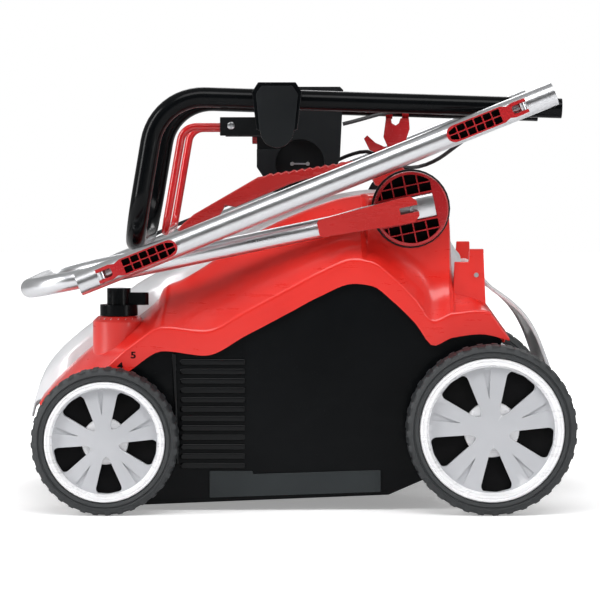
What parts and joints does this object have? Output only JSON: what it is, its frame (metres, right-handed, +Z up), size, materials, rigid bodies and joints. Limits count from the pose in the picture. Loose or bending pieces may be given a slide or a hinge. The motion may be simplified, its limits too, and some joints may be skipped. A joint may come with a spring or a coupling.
{
  "type": "electric rotary lawn mower",
  "caption": "Corded electric rotary lawn mower on four height-adjustable wheels, with a three-part clamp-lever handle folded flat over its deck.",
  "frame": {"origin": "on the ground, in the middle of the machine's box with its handle folded", "axes": "+Z up; -X is the front of the machine and +X its rear; +Y is its right, as the operator behind it sees it"},
  "size_m": [0.6263, 0.444, 0.4815],
  "materials": {
    "red_plastic": "glossy injection-moulded red",
    "dark_red_plastic": "satin dark red",
    "black_plastic": "glossy injection-moulded black",
    "silver_plastic": "metallic silver finish on plastic",
    "wheel_grey": "satin silver grey",
    "tyre": "matt black rubber with moulded lugs",
    "tube_aluminium": "drawn and satin anodised",
    "black_enamel": "glossy black stove enamel on steel tube",
    "red_enamel": "glossy red enamel on steel rod",
    "plated_steel": "zinc plated",
    "winding": "enamelled copper winding",
    "cable": "soft black PVC sheath"
  },
  "bodies": {
    "chassis": {"deck": "black_plastic", "top_cover": "red_plastic", "motor_hood": "silver_plastic", "carry_handle": "red_plastic", "motor_can": "plated_steel", "stator": "winding", "upper_bearing": "plated_steel", "lower_bearing": "plated_steel", "pivot_seat_left": "black_plastic", "pivot_seat_right": "black_plastic", "flap_rod": "plated_steel", "flap_spring": "plated_steel"},
    "rear_flap": {"rear_flap": "silver_plastic"},
    "spindle": {"rotor": "plated_steel", "blade": "plated_steel", "blade_carrier": "black_plastic", "blade_bolt": "plated_steel"},
    "front_axle": {"front_axle": "plated_steel"},
    "rear_axle": {"rear_axle": "plated_steel"},
    "height_knob": {"height_knob": "black_plastic"},
    "lower_handle": {"lower_handle": "tube_aluminium", "pivot_disc_left": "red_plastic", "pivot_disc_right": "red_plastic", "pivot_bolt_left": "plated_steel", "pivot_bolt_right": "plated_steel"},
    "middle_bars": {"middle_bar_left": "tube_aluminium", "middle_bar_right": "tube_aluminium", "middle_bolt_left": "plated_steel", "middle_bolt_right": "plated_steel", "upper_bolt_left": "plated_steel", "upper_bolt_right": "plated_steel", "cable_middle": "cable"},
    "upper_handle": {"upper_handle": "black_enamel", "bail_bracket": "black_plastic", "switch_housing": "black_plastic", "inlet_pins": "plated_steel", "cord_hook": "red_plastic", "cable_upper": "cable"},
    "bail": {"bail": "red_enamel", "bail_arm_left": "black_plastic", "bail_arm_right": "black_plastic"},
    "start_button": {"start_button": "dark_red_plastic"},
    "wheel_front_left": {"tyre_front_left": "tyre", "hubcap_front_left": "wheel_grey"},
    "wheel_front_right": {"tyre_front_right": "tyre", "hubcap_front_right": "wheel_grey"},
    "wheel_rear_left": {"tyre_rear_left": "tyre", "hubcap_rear_left": "wheel_grey"},
    "wheel_rear_right": {"tyre_rear_right": "tyre", "hubcap_rear_right": "wheel_grey"},
    "pivot_lever_left": {"pivot_lever_left": "red_plastic"},
    "middle_lever_left": {"middle_lever_left": "red_plastic"},
    "upper_lever_left": {"upper_lever_left": "red_plastic"},
    "pivot_lever_right": {"pivot_lever_right": "red_plastic"},
    "middle_lever_right": {"middle_lever_right": "red_plastic"},
    "upper_lever_right": {"upper_lever_right": "red_plastic"}
  },
  "joints": [
    {"name": "flap_hinge", "type": "hinge", "parent": "chassis", "child": "rear_flap", "pos_m": [0.2045, 0, 0.264], "axis": [0, -1, 0], "range_deg": [0, 80], "stiffness_Nm_per_rad": 0.15, "springref_deg": -34.38},
    {"name": "blade_spin", "type": "hinge", "parent": "chassis", "child": "spindle", "pos_m": [-0.045, 0, 0.05], "axis": [0, 0, 1], "continuous": true},
    {"name": "front_axle_swing", "type": "hinge", "parent": "chassis", "child": "front_axle", "pos_m": [-0.251, 0, 0.09], "axis": [0, 1, 0], "range_deg": [0, 40]},
    {"name": "rear_axle_swing", "type": "hinge", "parent": "chassis", "child": "rear_axle", "pos_m": [0.178, 0, 0.103], "axis": [0, 1, 0], "range_deg": [0, 40]},
    {"name": "height_knob_turn", "type": "hinge", "parent": "chassis", "child": "height_knob", "pos_m": [-0.2005, -0.118, 0.22], "axis": [0, 0, 1], "range_deg": [0, 270]},
    {"name": "lower_fold", "type": "hinge", "parent": "chassis", "child": "lower_handle", "pos_m": [0.13, 0, 0.339], "axis": [0, 1, 0], "range_deg": [0, 161.3]},
    {"name": "middle_fold", "type": "hinge", "parent": "lower_handle", "child": "middle_bars", "pos_m": [-0.21398, 0, 0.2662], "axis": [0, 1, 0], "range_deg": [-169.9, 0]},
    {"name": "upper_fold", "type": "hinge", "parent": "middle_bars", "child": "upper_handle", "pos_m": [0.25118, 0, 0.45282], "axis": [0, 1, 0], "range_deg": [0, 156.8]},
    {"name": "bail_squeeze", "type": "hinge", "parent": "upper_handle", "child": "bail", "pos_m": [-0.031, 0, 0.4315], "axis": [0, 1, 0], "range_deg": [0, 9], "stiffness_Nm_per_rad": 0.4, "springref_deg": -20.05},
    {"name": "start_press", "type": "slide", "parent": "upper_handle", "child": "start_button", "axis": [1, 0, 0], "range_m": [0, 0.004], "stiffness_N_per_m": 400},
    {"name": "wheel_front_left_roll", "type": "hinge", "parent": "front_axle", "child": "wheel_front_left", "pos_m": [-0.211, -0.202, 0.082], "axis": [0, 1, 0], "continuous": true},
    {"name": "wheel_front_right_roll", "type": "hinge", "parent": "front_axle", "child": "wheel_front_right", "pos_m": [-0.211, 0.202, 0.082], "axis": [0, 1, 0], "continuous": true},
    {"name": "wheel_rear_left_roll", "type": "hinge", "parent": "rear_axle", "child": "wheel_rear_left", "pos_m": [0.218, -0.202, 0.095], "axis": [0, 1, 0], "continuous": true},
    {"name": "wheel_rear_right_roll", "type": "hinge", "parent": "rear_axle", "child": "wheel_rear_right", "pos_m": [0.218, 0.202, 0.095], "axis": [0, 1, 0], "continuous": true},
    {"name": "pivot_lever_left_open", "type": "hinge", "parent": "lower_handle", "child": "pivot_lever_left", "pos_m": [0.13, -0.1779, 0.339], "axis": [-0.2071, 0, 0.9783], "range_deg": [0, 100]},
    {"name": "middle_lever_left_open", "type": "hinge", "parent": "middle_bars", "child": "middle_lever_left", "pos_m": [-0.21398, -0.20925, 0.2662], "axis": [0.3723, 0, -0.9281], "range_deg": [0, 100]},
    {"name": "upper_lever_left_open", "type": "hinge", "parent": "middle_bars", "child": "upper_lever_left", "pos_m": [0.25118, -0.20925, 0.45282], "axis": [-0.3723, 0, 0.9281], "range_deg": [0, 100]},
    {"name": "pivot_lever_right_open", "type": "hinge", "parent": "lower_handle", "child": "pivot_lever_right", "pos_m": [0.13, 0.1779, 0.339], "axis": [0.2071, 0, -0.9783], "range_deg": [0, 100]},
    {"name": "middle_lever_right_open", "type": "hinge", "parent": "middle_bars", "child": "middle_lever_right", "pos_m": [-0.21398, 0.20925, 0.2662], "axis": [-0.3723, 0, 0.9281], "range_deg": [0, 100]},
    {"name": "upper_lever_right_open", "type": "hinge", "parent": "middle_bars", "child": "upper_lever_right", "pos_m": [0.25118, 0.20925, 0.45282], "axis": [0.3723, 0, -0.9281], "range_deg": [0, 100]}
  ],
  "couplings": [
    {"joint": "rear_axle_swing", "follows": "front_axle_swing", "ratio": 1},
    {"joint": "height_knob_turn", "follows": "front_axle_swing", "ratio": 6.75},
    {"joint": "middle_fold", "follows": "lower_fold", "ratio": -1.0527},
    {"joint": "upper_fold", "follows": "lower_fold", "ratio": 0.9715}
  ]
}
